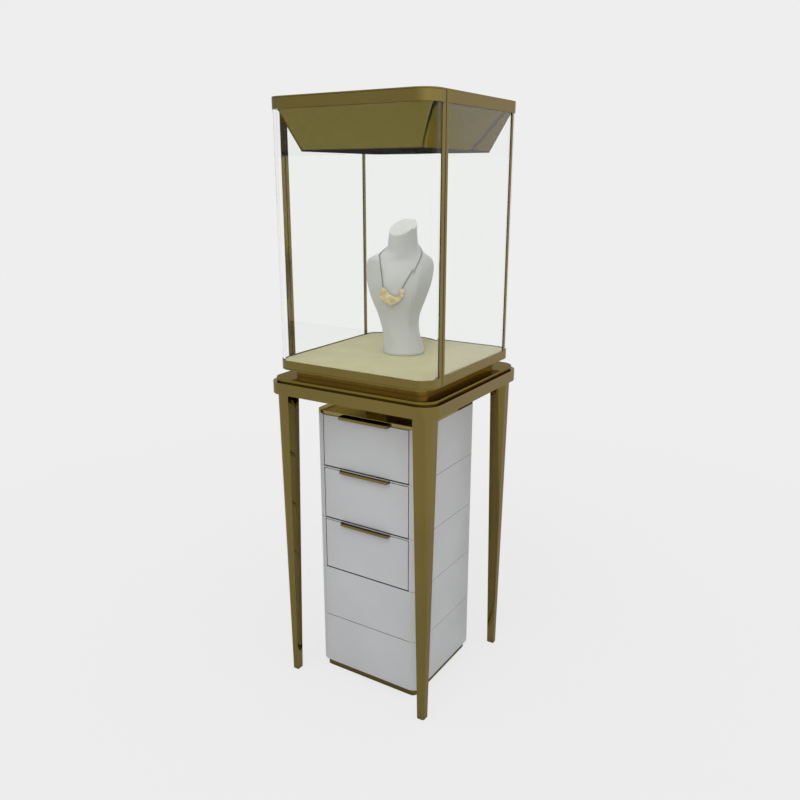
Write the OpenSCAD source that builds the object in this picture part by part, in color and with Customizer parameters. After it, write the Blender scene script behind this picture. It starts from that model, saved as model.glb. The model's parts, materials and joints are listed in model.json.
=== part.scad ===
// Display tower for a shop: a square glass case on a table with four tapered legs,
// and a cabinet of five equal layers, three of them with drawers, standing between the legs.
// The front of the case, with both bent corners, swings as one door on two pivot pins.
// Millimetres. The origin is on the floor, under the middle. Door and drawers face -Y.

/* [Table] */
// Free height between the top of the cabinet and the underside of the apron
table_gap = 48; // [20:0.5:90]
// Width of a leg at its top
leg_top_w = 41; // [30:1:50]
// Width of a leg at its foot
leg_foot_w = 18; // [12:1:28]
// Outer corner radius of a leg at its top
leg_top_r = 22; // [8:1:26]
// Outer corner radius of a leg at its foot
leg_foot_r = 5; // [2:0.5:8]
// Wall of a leg, which is a tube
leg_wall = 1.5; // [1:0.5:3]
// Setback of a leg's outer faces from the apron
leg_inset = 13.5; // [12:0.5:20]
// Side of the square fixing plate on top of a leg
leg_plate_w = 58; // [52:1:64]
// Thickness of that plate
leg_plate_t = 3; // [2:0.5:5]
// Gap between such a plate and the inside of the apron
leg_plate_gap = 1; // [0.5:0.5:3]
// Outer width of the apron
table_w = 450; // [430:1:520]
// Corner radius of the apron
table_r = 42; // [30:1:48]
// Height of the apron band
apron_h = 28; // [20:1:40]
// Sheet thickness of the apron
apron_t = 2; // [1.5:0.5:3]
// Width of the ledge plate on top of the apron
ledge_w = 435; // [424:1:445]
// Corner radius of the ledge plate
ledge_r = 37.5; // [28:0.5:44]
// Thickness of the ledge plate
ledge_t = 6; // [4:0.5:10]
// Height of the shadow step under the ledge plate
step_h = 3; // [2:0.5:5]
// Depth of the shadow step
step_inset = 4; // [2:0.5:8]

/* [Deck] */
// Width of the neck between the table and the case
neck_w = 356; // [300:1:390]
// Corner radius of the neck
neck_r = 20; // [10:1:40]
// Height of the neck
neck_h = 20.5; // [14:0.5:40]
// Height of the rim round the deck
rim_h = 19; // [17:0.5:30]
// Thickness of the fabric pad on the deck
pad_t = 4; // [3:0.5:6]
// How far the pad lies below the top of the rim
pad_drop = 0.6; // [0.4:0.1:2]
// Gap between the edge of the pad and the glass
pad_gap = 1.4; // [1:0.1:3]
// Gap between the pad and the rail that passes under its edge
rail_slit = 0.4; // [0.3:0.05:1]
// Gap between the rails and the board of the deck, which the door needs to swing
swing_gap = 4; // [4:0.5:8]

/* [Case] */
// Outer width of the rim and the canopy
case_w = 415; // [400:1:424]
// Corner radius of the rim, the canopy and the bent glass
case_r = 40; // [26:1:44]
// Free height of the glass, from the rim to the canopy
glass_h = 550.5; // [540:0.5:700]
// Thickness of the glass
glass_t = 5; // [4:0.5:6]
// How far the glass lies behind the outer faces
glass_inset = 1.5; // [1:0.1:2]
// How deep the glass stands in its grooves
glass_bite = 6.5; // [4:0.5:8]
// Clearance beside the glass in its groove
glass_slack = 0.2; // [0.1:0.05:0.4]
// Free depth of a groove over the top edge of the glass
groove_spare = 1; // [0.5:0.5:2]
// Width of the rails that hold the glass, seen from above
rail_t = 10.5; // [9.5:0.5:12]
// Width of a post of the fixed frame, seen from the side
post_w = 9; // [6:0.5:12]
// Width of a stile of the door, seen from the side
stile_w = 12; // [8:0.5:14]
// Distance from the front of the case to the rear edge of the door
door_depth = 57; // [52:0.1:80]
// Thickness of the plates over the canopy and under the rim
plate_t = 3; // [2:0.5:5]

/* [Canopy] */
// Height of the canopy band under its top plate
band_h = 22.5; // [20:0.5:40]
// Height of the inverted pyramid
hopper_h = 83; // [50:1:95]
// Width of the pyramid at its lower end
hopper_low_w = 318; // [260:1:360]
// Corner radius of the pyramid
hopper_r = 20; // [12:1:30]
// Sheet thickness of the pyramid
hopper_t = 2; // [1.5:0.5:3]
// Thickness of the light panel that closes the pyramid
panel_t = 3; // [2:0.5:5]
// Setback of the panel's edge from the pyramid
panel_inset = 1; // [0.5:0.5:4]
// Distance between two lamps
lamp_pitch = 170; // [120:1:200]
// Diameter of a lamp's body
lamp_d = 30; // [24:1:40]
// Width of the rim of a lamp
lamp_lip = 3; // [2:0.5:5]
// Height of a lamp's body over the panel
lamp_h = 14; // [8:1:20]
// Height of the rim of a lamp
lamp_lip_t = 1.5; // [1:0.5:3]
// Width of the sloping ring round the lens of a lamp
lamp_ring = 4; // [2:0.5:6]
// How deep the lens of a lamp is sunk
lamp_sink = 2; // [1:0.5:4]
// Length of the lamp driver
driver_l = 110; // [80:1:115]
// Width of the lamp driver
driver_w = 42; // [30:1:60]
// Height of the lamp driver
driver_h = 22; // [16:1:30]
// Diameter of the power socket in the back of the band
socket_d = 8; // [7:0.5:9]
// Diameter of the socket's hole for a plug
socket_hole_d = 5.5; // [4.5:0.5:5.5]
// Distance of the socket's middle below the top of the band
socket_drop = 7; // [6:0.5:10]

/* [Door] */
// Gap between the door and the fixed frame at the seam
seam_gap = 2.5; // [2.2:0.1:4]
// Gap over and under the door
door_slit = 0.4; // [0.3:0.05:1]
// Distance from the rear edge of the door to its pivot axis
pivot_back = 6.1; // [5.6:0.1:6.4]
// Diameter of a pivot pin
pin_d = 4; // [3:0.5:4.5]
// Radial running clearance of a pivot pin
pin_slack = 0.05; // [0.02:0.01:0.1]
// Length of a pivot pin
pin_l = 10; // [8:0.5:10.5]
// Free depth of a pin's hole past the end of the pin
pin_spare = 1; // [0.5:0.5:2]
// Gap between the swinging end of the door's rail and the notch in the pad
notch_gap = 0.6; // [0.4:0.1:2]
// Diameter of a catch magnet
magnet_d = 6; // [4:0.5:7]
// Thickness of a catch magnet
magnet_t = 2; // [1:0.5:3]
// Height of the lower magnet over the underside of the rim
magnet_rise = 6; // [5:0.5:7]
// Distance of the upper magnet below the top of the band
magnet_drop = 7; // [6:0.5:9]

/* [Cabinet] */
// Width of the cabinet
cab_w = 290; // [270:1:310]
// Depth of the cabinet
cab_d = 286; // [270:1:310]
// Thickness of the cabinet beside a drawer opening
cab_wall = 23; // [18:1:34]
// Flat strip of the front beside a drawer opening, up to the round corner
cab_flat = 1; // [0.5:0.5:4]
// Height of a layer
layer_h = 136.8; // [110:0.1:138]
// Height of the groove between two layers
seam_h = 1.4; // [1:0.1:3]
// Depth of the groove between two layers
seam_d = 1.5; // [1:0.1:3]
// Height of the plinth
plinth_h = 19.5; // [12:0.5:30]
// Setback of the plinth
plinth_inset = 9; // [4:1:20]
// Thickness of the metal plate on top, which takes the place of the first rail
top_plate_t = 8.5; // [8:0.5:12]
// Width of the spacer block under the table
spacer_w = 60; // [40:1:120]
// Depth of the spacer block
spacer_d = 190; // [100:1:240]

/* [Drawers] */
// Height of the white rail over a drawer
rail_h = 3; // [2.5:0.5:8]
// Thickness of the board under a drawer
floor_t = 9; // [6:0.5:12]
// Thickness of the back wall of a layer
back_t = 12; // [6:1:18]
// Gap round a drawer front
front_gap = 2; // [0.8:0.1:2.4]
// Gap between a closed drawer front and the board behind it
front_rest = 0.5; // [0.4:0.1:1]
// Thickness of a drawer front
front_t = 18; // [14:1:22]
// Free depth behind a drawer box
box_back = 20; // [8:1:50]
// Gap between a drawer box and the flange of its pull
box_gap = 3; // [1:0.5:10]
// Thickness of the sides of a drawer box
box_t = 10; // [8:0.5:14]
// Thickness of the bottom of a drawer box
box_floor = 5; // [3:0.5:8]
// Gap under a drawer box
box_lift = 8; // [4:0.5:12]
// Space for a pair of runners on each side of a drawer box
slide_w = 13; // [12:0.5:15]
// Height of a fixed runner
runner_h = 36; // [28:1:44]
// Sheet thickness of the runners
runner_t = 1.5; // [1.2:0.1:2]
// Running gap between a fixed and a moving runner
runner_gap = 0.4; // [0.3:0.05:0.6]
// Distance of the runners' ends from the ends of the drawer box
runner_end = 3; // [1:0.5:12]
// Width of a finger pull
pull_w = 139; // [100:1:180]
// How far a finger pull stands out
pull_out = 13; // [8:0.5:18]
// Height of the pull's lip over its floor
pull_lip = 5; // [2:0.5:6]
// Sheet thickness of a finger pull
pull_t = 1.5; // [1:0.5:2]
// Corner radius of a finger pull
pull_r = 6; // [4:0.5:9]
// Height of the pull's flange behind the drawer front
pull_flange = 16; // [10:1:20]
// Gap between the pull's lip and the drawer front
pull_gap = 0.5; // [0.4:0.1:1]

/* [Bust] */
// Height of the bust at its highest point
bust_h = 318; // [240:1:325]
// Half width of the bust at the shoulders
bust_shoulder = 79; // [70:1:84]
// How far the bust is turned towards the right, in degrees
bust_turn = 31; // [0:1:45]
// Place of the bust's foot from the middle of the deck, to the right
bust_x = 5; // [-20:1:20]
// Place of the bust's foot from the middle of the deck, to the back
bust_y = 22; // [-20:1:40]
// Direction of the slanting side planes of the chest, in degrees before the shoulder
ridge_turn = 31; // [20:1:45]
// Thickness of the chain
chain_d = 1.8; // [1.4:0.1:3]
// Diameter of the smallest disc of the pendant
coin_d = 12; // [9:0.5:15]
// How much larger the largest disc is
coin_growth = 13; // [0:1:15]
// How far the largest disc lies to the left of the lowest point, in degrees
coin_peak = 35; // [0:1:60]
// Number of discs in the pendant
coins = 8; // [6:1:9]
// Thickness of a disc
coin_t = 1.5; // [1:0.5:2.5]
// Step outwards from one disc to the next
coin_layer = 0.3; // [0.2:0.1:0.5]
// Radius of the bow in which the discs lie
coin_bow = 22; // [18:1:24]

/* [Hidden] */

// Layers of the cabinet, and how many of them have a drawer, from the top
layers = 5;
drawers = 3;

GOLD = [0.62, 0.52, 0.26];
DARK = [0.12, 0.12, 0.12];
WHITE = [0.86, 0.86, 0.84];
CLEAR = [0.8, 0.88, 0.85, 0.3];
WOOD = [0.72, 0.58, 0.4];
FABRIC = [0.8, 0.79, 0.67];
STEEL = [0.7, 0.7, 0.72];
// Sides of a true curve
CURVE = 96;
// Sides of a small or soft curve
SOFT = 32;
// Overlap of a cutting shape past the face that it cuts
past = 1;

// Heights of the cabinet, the table and the case
cab_top = plinth_h + layers * layer_h;
leg_h = cab_top - rail_h + top_plate_t + table_gap;
apron_z = leg_h;
ledge_z = apron_z + apron_h;
neck_z = ledge_z + step_h + ledge_t;
base_z = neck_z + neck_h;
rim_z = base_z + plate_t;
rim_top = rim_z + rim_h;
band_z = rim_top + glass_h;
band_top = band_z + band_h;
hopper_z = band_z - hopper_h;

// The case seen from above
case_half = case_w / 2;
inner_half = case_half - rail_t;
deck_half = inner_half - swing_gap;
glass_out = case_half - glass_inset;
glass_in = glass_out - glass_t;
post_t = glass_inset + glass_t;
door_y = -case_half + door_depth;
fixed_y = door_y + seam_gap;
rear_y = case_half - case_r;
pivot_x = case_half - rail_t / 2;
pivot_y = door_y - pivot_back;
rail_end_reach = norm([case_half - pivot_x, pivot_back]);
pad_edge = glass_in - pad_gap;
board_top = rim_top - pad_drop - pad_t;
groove_h = glass_bite + groove_spare;

// The cabinet
plate_z = cab_top - rail_h;
cab_front = -cab_d / 2;
cab_r = cab_wall - cab_flat;
open_w = cab_w - 2 * cab_wall;
front_w = open_w - 2 * front_gap;
box_w = open_w - 2 * slide_w;
layer_z = function (k) plinth_h + (layers - k) * layer_h;
front_low = seam_h + front_gap;
front_high = layer_h - rail_h - front_gap;
box_low = floor_t + box_lift;
box_h = front_high - pull_t - pull_flange - box_gap - box_low;
box_l = cab_d - back_t - front_t - box_back;
slide_mid = box_low + box_h / 2;
runner_l = box_l - 2 * runner_end;
runner_back = front_t + runner_end;

// A square with round corners, w wide and d deep
module rounded(w, d, r, sides = CURVE) {
    square([w - 2 * r, d], center = true);
    square([w, d - 2 * r], center = true);
    for (x = [-1, 1], y = [-1, 1])
        translate([x * (w / 2 - r), y * (d / 2 - r)]) circle(r, $fn = sides);
}

// The band between two such squares, given by their half widths
module band(outer, inner, r) {
    difference() {
        rounded(2 * outer, 2 * outer, r);
        rounded(2 * inner, 2 * inner, r - outer + inner);
    }
}

// Everything in front of y, and everything behind it
module before(y) {
    translate([-table_w, y - 2 * table_w]) square([2 * table_w, 2 * table_w]);
}

module behind(y) {
    translate([-table_w, y]) square([2 * table_w, 2 * table_w]);
}

// The plan of the glass of the door, of a side and of the back, grown by a clearance
module door_glass_plan(grow = 0) {
    intersection() {
        band(glass_out + grow, glass_in - grow, case_r - glass_inset + grow);
        before(door_y - stile_w);
    }
}

module side_glass_plan(side, grow = 0) {
    y0 = fixed_y + post_w;
    y1 = rear_y - post_w;
    x0 = side > 0 ? glass_in : -glass_out;
    translate([x0 - grow, y0]) square([glass_t + 2 * grow, y1 - y0]);
}

module rear_glass_plan(grow = 0) {
    intersection() {
        band(glass_out + grow, glass_in - grow, case_r - glass_inset + grow);
        behind(rear_y);
    }
}

module glass_plans(grow) {
    door_glass_plan(grow);
    side_glass_plan(-1, grow);
    side_glass_plan(1, grow);
    rear_glass_plan(grow);
}

// A pane stands this much deeper than its free height
module pane() {
    color(CLEAR)
        translate([0, 0, rim_top - glass_bite])
            linear_extrude(glass_h + 2 * glass_bite) children();
}

// A tapered leg: thin slabs, each with one large outer corner, joined by a hull
module leg_slab(w, r, outer) {
    translate([outer - w, outer - w]) {
        square([w, w - r]);
        square([w - r, w]);
        translate([w - r, w - r]) circle(r, $fn = SOFT);
        square(w / 2);
    }
}

module leg_body(wall, low, high) {
    slab = 0.5;
    top_outer = table_w / 2 - leg_inset;
    foot_outer = top_outer - (leg_top_w - leg_foot_w) / 2;
    hull() {
        translate([0, 0, low])
            linear_extrude(slab)
                leg_slab(leg_foot_w - 2 * wall, max(leg_foot_r - wall, 0.5), foot_outer - wall);
        translate([0, 0, high - slab])
            linear_extrude(slab)
                leg_slab(leg_top_w - 2 * wall, leg_top_r - wall, top_outer - wall);
    }
}

module leg(sx, sy) {
    foot_floor = 6;
    color(GOLD)
        mirror([sx > 0 ? 0 : 1, 0]) mirror([0, sy > 0 ? 0 : 1])
            difference() {
                leg_body(0, 0, leg_h);
                leg_body(leg_wall, foot_floor, leg_h + past);
            }
}

module leg_front_left() { leg(-1, -1); }
module leg_front_right() { leg(1, -1); }
module leg_rear_left() { leg(-1, 1); }
module leg_rear_right() { leg(1, 1); }

// Four plates that screw the legs to the core of the table
module leg_plates() {
    outer = table_w / 2 - leg_inset;
    mid = outer - leg_plate_w / 2;
    edge = apron_t + leg_plate_gap;
    room_w = table_w - 2 * edge;
    color(STEEL)
        translate([0, 0, leg_h])
            linear_extrude(leg_plate_t)
                intersection() {
                    rounded(room_w, room_w, table_r - edge);
                    for (x = [-1, 1], y = [-1, 1])
                        translate([x * mid, y * mid]) square(leg_plate_w, center = true);
                }
}

// Folded metal tray, open below, that forms the edge of the table
module table_apron() {
    color(GOLD)
        translate([0, 0, apron_z]) {
            linear_extrude(apron_h) band(table_w / 2, table_w / 2 - apron_t, table_r);
            translate([0, 0, apron_h - apron_t])
                linear_extrude(apron_t) rounded(table_w, table_w, table_r);
        }
}

// Board inside the apron
module table_core() {
    w = table_w - 2 * apron_t;
    color(WOOD)
        translate([0, 0, apron_z + leg_plate_t])
            linear_extrude(apron_h - apron_t - leg_plate_t) rounded(w, w, table_r - apron_t);
}

// Metal ledge with a shadow step under it
module ledge_plate() {
    step_w = ledge_w - 2 * step_inset;
    color(GOLD)
        translate([0, 0, ledge_z]) {
            linear_extrude(step_h) rounded(step_w, step_w, ledge_r - step_inset);
            translate([0, 0, step_h]) linear_extrude(ledge_t) rounded(ledge_w, ledge_w, ledge_r);
        }
}

// Metal clad block between the table and the case
module neck_block() {
    color(GOLD)
        translate([0, 0, neck_z]) linear_extrude(neck_h) rounded(neck_w, neck_w, neck_r);
}

// Thin plate under the rim, which carries the lower pivot pin of the door
module rim_base_plate() {
    color(GOLD)
        translate([0, 0, base_z]) linear_extrude(plate_t) rounded(case_w, case_w, case_r);
}

// The rail under the glass, all the way round: a groove for the glass, and a low inner leg
module rim_rail() {
    low_leg = board_top - rail_slit;
    difference() {
        translate([0, 0, rim_z]) linear_extrude(rim_h) band(case_half, inner_half, case_r);
        translate([0, 0, rim_top - glass_bite])
            linear_extrude(glass_bite + past) glass_plans(glass_slack);
        translate([0, 0, low_leg])
            linear_extrude(rim_h)
                band(glass_in, inner_half - past, case_r - glass_inset - glass_t);
    }
}

// The rail over the glass
module band_rail() {
    difference() {
        translate([0, 0, band_z]) linear_extrude(band_h) band(case_half, inner_half, case_r);
        translate([0, 0, band_z - past])
            linear_extrude(groove_h + past) glass_plans(glass_slack);
    }
}

// The fixed part of a rail, and the part that swings with the door
module fixed_part() {
    intersection() {
        children();
        linear_extrude(band_top + past) behind(fixed_y);
    }
}

module door_part(low, high) {
    intersection() {
        children();
        translate([0, 0, low]) linear_extrude(high - low) before(door_y);
    }
}

// Round sinks for the catch magnets in the left end of a rail
magnet_z = [rim_z + magnet_rise, band_top - magnet_drop];
module magnets(y, way, t, d) {
    for (z = magnet_z)
        translate([-pivot_x, y, z])
            rotate([way > 0 ? -90 : 90, 0, 0]) cylinder(h = t, d = d, $fn = CURVE);
}

module deck_rim() {
    color(GOLD)
        difference() {
            fixed_part() rim_rail();
            magnets(fixed_y, 1, magnet_t, magnet_d);
        }
}

// Board that carries the pad, clear of the door's inner leg as it swings
module deck_board() {
    color(WOOD)
        translate([0, 0, rim_z])
            linear_extrude(board_top - rim_z)
                rounded(2 * deck_half, 2 * deck_half, case_r - rail_t);
}

// Fabric pad over the board, notched for the end of the door's rail that turns beside it
module deck_pad() {
    notch_r = rail_end_reach + notch_gap;
    color(FABRIC)
        translate([0, 0, board_top])
            linear_extrude(pad_t)
                difference() {
                    rounded(2 * pad_edge, 2 * pad_edge, case_r - case_half + pad_edge);
                    translate([pivot_x, pivot_y]) circle(notch_r, $fn = CURVE);
                }
}

// Flat posts, flush with the outer faces
module post(side, y0, w = post_w) {
    x0 = side > 0 ? case_half - post_t : -case_half;
    color(GOLD) translate([x0, y0, rim_top]) cube([post_t, w, glass_h]);
}

module post_front_left() { post(-1, fixed_y); }
module post_front_right() { post(1, fixed_y); }
module post_rear_left() { post(-1, rear_y - post_w); }
module post_rear_right() { post(1, rear_y - post_w); }

module side_glass_left() { pane() side_glass_plan(-1); }
module side_glass_right() { pane() side_glass_plan(1); }
module rear_glass() { pane() rear_glass_plan(); }

// Thin plate over the whole canopy, which carries the upper pivot pin
module canopy_top_plate() {
    color(GOLD)
        translate([0, 0, band_top]) linear_extrude(plate_t) rounded(case_w, case_w, case_r);
}

module canopy_band() {
    color(GOLD)
        difference() {
            fixed_part() band_rail();
            magnets(fixed_y, 1, magnet_t, magnet_d);
            socket_place(past) cylinder(h = rail_t + 2 * past, d = socket_d, $fn = CURVE);
        }
}

// Places the power socket in the back of the band
module socket_place(out) {
    translate([-case_half / 2, case_half + out, band_top - socket_drop])
        rotate([90, 0, 0]) children();
}

module power_socket() {
    color(DARK)
        socket_place(0)
            difference() {
                cylinder(h = rail_t, d = socket_d, $fn = CURVE);
                translate([0, 0, -past])
                    cylinder(h = rail_t - 1, d = socket_hole_d, $fn = CURVE);
            }
}

// Inverted pyramid of folded sheet, hung under the top plate
module pyramid(high_w, low_w, z0, z1, r) {
    slab = 0.1;
    hull() {
        translate([0, 0, z0]) linear_extrude(slab) rounded(low_w, low_w, r, SOFT);
        translate([0, 0, z1 - slab]) linear_extrude(slab) rounded(high_w, high_w, r, SOFT);
    }
}

module canopy_hopper() {
    high_w = 2 * deck_half;
    in_high = high_w - 2 * hopper_t;
    in_low = hopper_low_w - 2 * hopper_t;
    color(GOLD)
        difference() {
            union() {
                pyramid(high_w, hopper_low_w, hopper_z, band_z, hopper_r);
                translate([0, 0, band_z])
                    linear_extrude(band_h) rounded(high_w, high_w, hopper_r, SOFT);
            }
            pyramid(in_high, in_low, hopper_z - past, band_z, hopper_r - hopper_t);
            translate([0, 0, band_z - past / 2])
                linear_extrude(band_h + past)
                    rounded(in_high, in_high, hopper_r - hopper_t, SOFT);
        }
}

// Dark panel that closes the pyramid, with holes for the lamps
module light_panel() {
    w = hopper_low_w - 2 * panel_inset;
    color(DARK)
        translate([0, 0, hopper_z - panel_t])
            difference() {
                linear_extrude(panel_t) rounded(w, w, hopper_r - panel_inset);
                lamp_places() translate([0, 0, -past])
                    cylinder(h = panel_t + 2 * past, d = lamp_d, $fn = CURVE);
            }
}

module lamp_places() {
    for (x = [-1, 1], y = [-1, 1])
        translate([x * lamp_pitch / 2, y * lamp_pitch / 2]) children();
}

// Four recessed lamps, each with a narrow rim under the panel and a sunk lens
module lamps() {
    body_r = lamp_d / 2;
    rim_r = body_r + lamp_lip;
    lens_r = body_r - lamp_ring;
    rim_low = -lamp_lip_t;
    body_top = panel_t + lamp_h;
    color(STEEL)
        translate([0, 0, hopper_z - panel_t])
            lamp_places()
                rotate_extrude($fn = CURVE)
                    polygon([
                        [0, lamp_sink], [lens_r, lamp_sink], [body_r, rim_low], [rim_r, rim_low],
                        [rim_r, 0], [body_r, 0], [body_r, body_top], [0, body_top]
                    ]);
}

module lamp_driver() {
    color(DARK)
        translate([-driver_l / 2, -driver_w / 2, hopper_z]) cube([driver_l, driver_w, driver_h]);
}

// Two pins, each standing on its plate and turning in the door's rails
module pivot_pins() {
    color(STEEL)
        for (z = [rim_z, band_top - pin_l])
            translate([pivot_x, pivot_y, z]) cylinder(h = pin_l, d = pin_d, $fn = CURVE);
}

module catch_keepers() {
    color(STEEL) magnets(fixed_y, 1, magnet_t, magnet_d);
}

// The door: two bent rails, two stiles and the bent glass between them
module door_bores() {
    r = pin_d / 2 + pin_slack;
    reach = pin_l + pin_spare;
    translate([pivot_x, pivot_y, rim_z - past])
        cylinder(h = reach + past, r = r, $fn = CURVE);
    translate([pivot_x, pivot_y, band_top - reach])
        cylinder(h = reach + past, r = r, $fn = CURVE);
}

module door_top_rail() {
    color(GOLD)
        difference() {
            door_part(band_z, band_top - door_slit) band_rail();
            door_bores();
            magnets(door_y, -1, magnet_t, magnet_d);
        }
}

module door_bottom_rail() {
    color(GOLD)
        difference() {
            door_part(rim_z + door_slit, rim_top) rim_rail();
            door_bores();
            magnets(door_y, -1, magnet_t, magnet_d);
        }
}

module door_stile_left() { post(-1, door_y - stile_w, stile_w); }
module door_stile_right() { post(1, door_y - stile_w, stile_w); }
module door_glass() { pane() door_glass_plan(); }
module door_magnets() { color(DARK) magnets(door_y, -1, magnet_t, magnet_d); }

// Dark block that ties the cabinet to the table
module cabinet_spacer() {
    z0 = plate_z + top_plate_t;
    color(GOLD)
        translate([-spacer_w / 2, -spacer_d / 2, z0])
            cube([spacer_w, spacer_d, apron_z + leg_plate_t - z0]);
}

module cabinet_top_plate() {
    color(GOLD)
        translate([0, 0, plate_z]) linear_extrude(top_plate_t) rounded(cab_w, cab_d, cab_r);
}

// One layer of the cabinet, with a narrow foot that makes the groove to the next one
module layer_block(h = layer_h) {
    foot_w = cab_w - 2 * seam_d;
    foot_d = cab_d - 2 * seam_d;
    linear_extrude(seam_h) rounded(foot_w, foot_d, cab_r - seam_d);
    translate([0, 0, seam_h]) linear_extrude(h - seam_h) rounded(cab_w, cab_d, cab_r);
}

// The first layer ends under its rail, because the metal plate closes it
module drawer_layer(k) {
    inner_high = layer_h - rail_h + (k == 1 ? past : 0);
    color(WHITE)
        translate([0, 0, layer_z(k)])
            difference() {
                layer_block(k == 1 ? layer_h - rail_h : layer_h);
                translate([-open_w / 2, cab_front - past, seam_h])
                    cube([open_w, front_t + front_rest + past, inner_high - seam_h]);
                translate([-open_w / 2, cab_front, floor_t])
                    cube([open_w, cab_d - back_t, inner_high - floor_t]);
            }
}

module closed_layer(k) {
    color(WHITE) translate([0, 0, layer_z(k)]) layer_block();
}

module cabinet_layer_1() { drawer_layer(1); }
module cabinet_layer_2() { drawer_layer(2); }
module cabinet_layer_3() { drawer_layer(3); }
module cabinet_layer_4() { closed_layer(4); }
module cabinet_layer_5() { closed_layer(5); }

module cabinet_plinth() {
    inset = 2 * plinth_inset;
    color(GOLD)
        linear_extrude(plinth_h) rounded(cab_w - inset, cab_d - inset, cab_r - plinth_inset);
}

// A channel lying along Y, its web at x = 0 and its flanges reaching out to x = depth
module channel(depth, h) {
    translate([0, 0, -h / 2]) {
        cube([runner_t, runner_l, h]);
        cube([depth, runner_l, runner_t]);
        translate([0, 0, h - runner_t]) cube([depth, runner_l, runner_t]);
    }
}

module cabinet_runners() {
    depth = slide_w - runner_t;
    color(STEEL)
        for (k = [1 : drawers], side = [-1, 1])
            translate([0, cab_front + runner_back, layer_z(k) + slide_mid])
                mirror([side > 0 ? 1 : 0, 0, 0])
                    translate([-open_w / 2, 0, 0]) channel(depth, runner_h);
}

module drawer_slides(k) {
    h = runner_h - 2 * runner_t - 2 * runner_gap;
    depth = slide_w - runner_t - runner_gap;
    color(STEEL)
        for (side = [-1, 1])
            translate([0, cab_front + runner_back, layer_z(k) + slide_mid])
                mirror([side > 0 ? 0 : 1, 0, 0])
                    translate([box_w / 2, 0, 0]) channel(depth, h);
}

module drawer_front(k) {
    color(WHITE)
        translate([-front_w / 2, cab_front, layer_z(k)])
            difference() {
                translate([0, 0, front_low]) cube([front_w, front_t, front_high - front_low]);
                translate([(front_w - pull_w) / 2, -past, front_high - pull_t])
                    cube([pull_w, front_t + 2 * past, pull_t + past]);
            }
}

// Open tray behind the front
module drawer_box(k) {
    color(WOOD)
        translate([-box_w / 2, cab_front + front_t, layer_z(k) + box_low])
            difference() {
                cube([box_w, box_l, box_h]);
                translate([box_t, box_t, box_floor])
                    cube([box_w - 2 * box_t, box_l - 2 * box_t, box_h]);
            }
}

// Folded metal finger pull: a floor over the front's edge, a lip round it, a flange behind.
// Its plan has two round corners; inset shrinks the plan on three sides.
module pull_plan(inset) {
    depth = pull_out + front_t;
    half = pull_w / 2;
    translate([inset - half, pull_r - pull_out]) square([pull_w - 2 * inset, depth - pull_r]);
    translate([pull_r - half, inset - pull_out]) square([pull_w - 2 * pull_r, depth - inset]);
    for (side = [-1, 1])
        translate([side * (half - pull_r), pull_r - pull_out])
            circle(pull_r - inset, $fn = CURVE);
}

module drawer_pull(k) {
    color(GOLD)
        translate([0, cab_front, layer_z(k) + front_high - pull_t]) {
            linear_extrude(pull_t) pull_plan(0);
            linear_extrude(pull_t + pull_lip)
                intersection() {
                    difference() {
                        pull_plan(0);
                        pull_plan(pull_t);
                    }
                    before(-pull_gap);
                }
            translate([-pull_w / 2, front_t, -pull_flange])
                cube([pull_w, pull_t, pull_flange + pull_t]);
        }
}

module drawer_1_front() { drawer_front(1); }
module drawer_1_box() { drawer_box(1); }
module drawer_1_pull() { drawer_pull(1); }
module drawer_1_slides() { drawer_slides(1); }
module drawer_2_front() { drawer_front(2); }
module drawer_2_box() { drawer_box(2); }
module drawer_2_pull() { drawer_pull(2); }
module drawer_2_slides() { drawer_slides(2); }
module drawer_3_front() { drawer_front(3); }
module drawer_3_box() { drawer_box(3); }
module drawer_3_pull() { drawer_pull(3); }
module drawer_3_slides() { drawer_slides(3); }

// The bust: elliptic rings from the foot to the slanted cut of the neck, with a plane cut off
// each side of the chest, so that a ridge runs from the shoulder to the waist.
// A row holds the height, half width, half depth, shift to the right, shift to the back, the rise
// towards the back, the rise towards the right, and the reach of the side planes, 1 for none.
// Heights are shares of bust_h, the other sizes are shares of bust_shoulder.
BUST = [
    [0.000, 0.63, 0.57, 0.02, 0.00, 0.00, 0.00, 1.00],
    [0.020, 0.635, 0.575, 0.02, 0.00, 0.00, 0.00, 1.00],
    [0.060, 0.60, 0.52, 0.00, 0.00, 0.00, 0.00, 0.98],
    [0.140, 0.555, 0.45, -0.07, 0.00, 0.00, 0.00, 0.95],
    [0.225, 0.56, 0.42, -0.13, 0.00, 0.00, 0.00, 0.90],
    [0.310, 0.645, 0.45, -0.15, -0.01, 0.00, 0.00, 0.87],
    [0.430, 0.86, 0.54, -0.13, -0.03, 0.00, 0.00, 0.85],
    [0.540, 1.02, 0.57, -0.08, -0.02, 0.00, 0.00, 0.84],
    [0.625, 1.08, 0.54, -0.04, 0.02, 0.02, 0.00, 0.86],
    [0.676, 1.065, 0.47, -0.035, 0.05, 0.05, 0.00, 0.90],
    [0.710, 0.97, 0.42, -0.07, 0.06, 0.10, 0.01, 0.95],
    [0.742, 0.705, 0.40, -0.085, 0.05, 0.20, 0.03, 1.00],
    [0.785, 0.465, 0.39, -0.045, 0.04, 0.33, 0.08, 1.00],
    [0.862, 0.403, 0.37, -0.057, 0.02, 0.45, 0.16, 1.00],
    [0.945, 0.375, 0.37, -0.04, 0.00, 0.52, 0.30, 1.00]
];
bust_sides = 28;
bust_rings = 36;

function unit(v) = v / norm(v);

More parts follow.
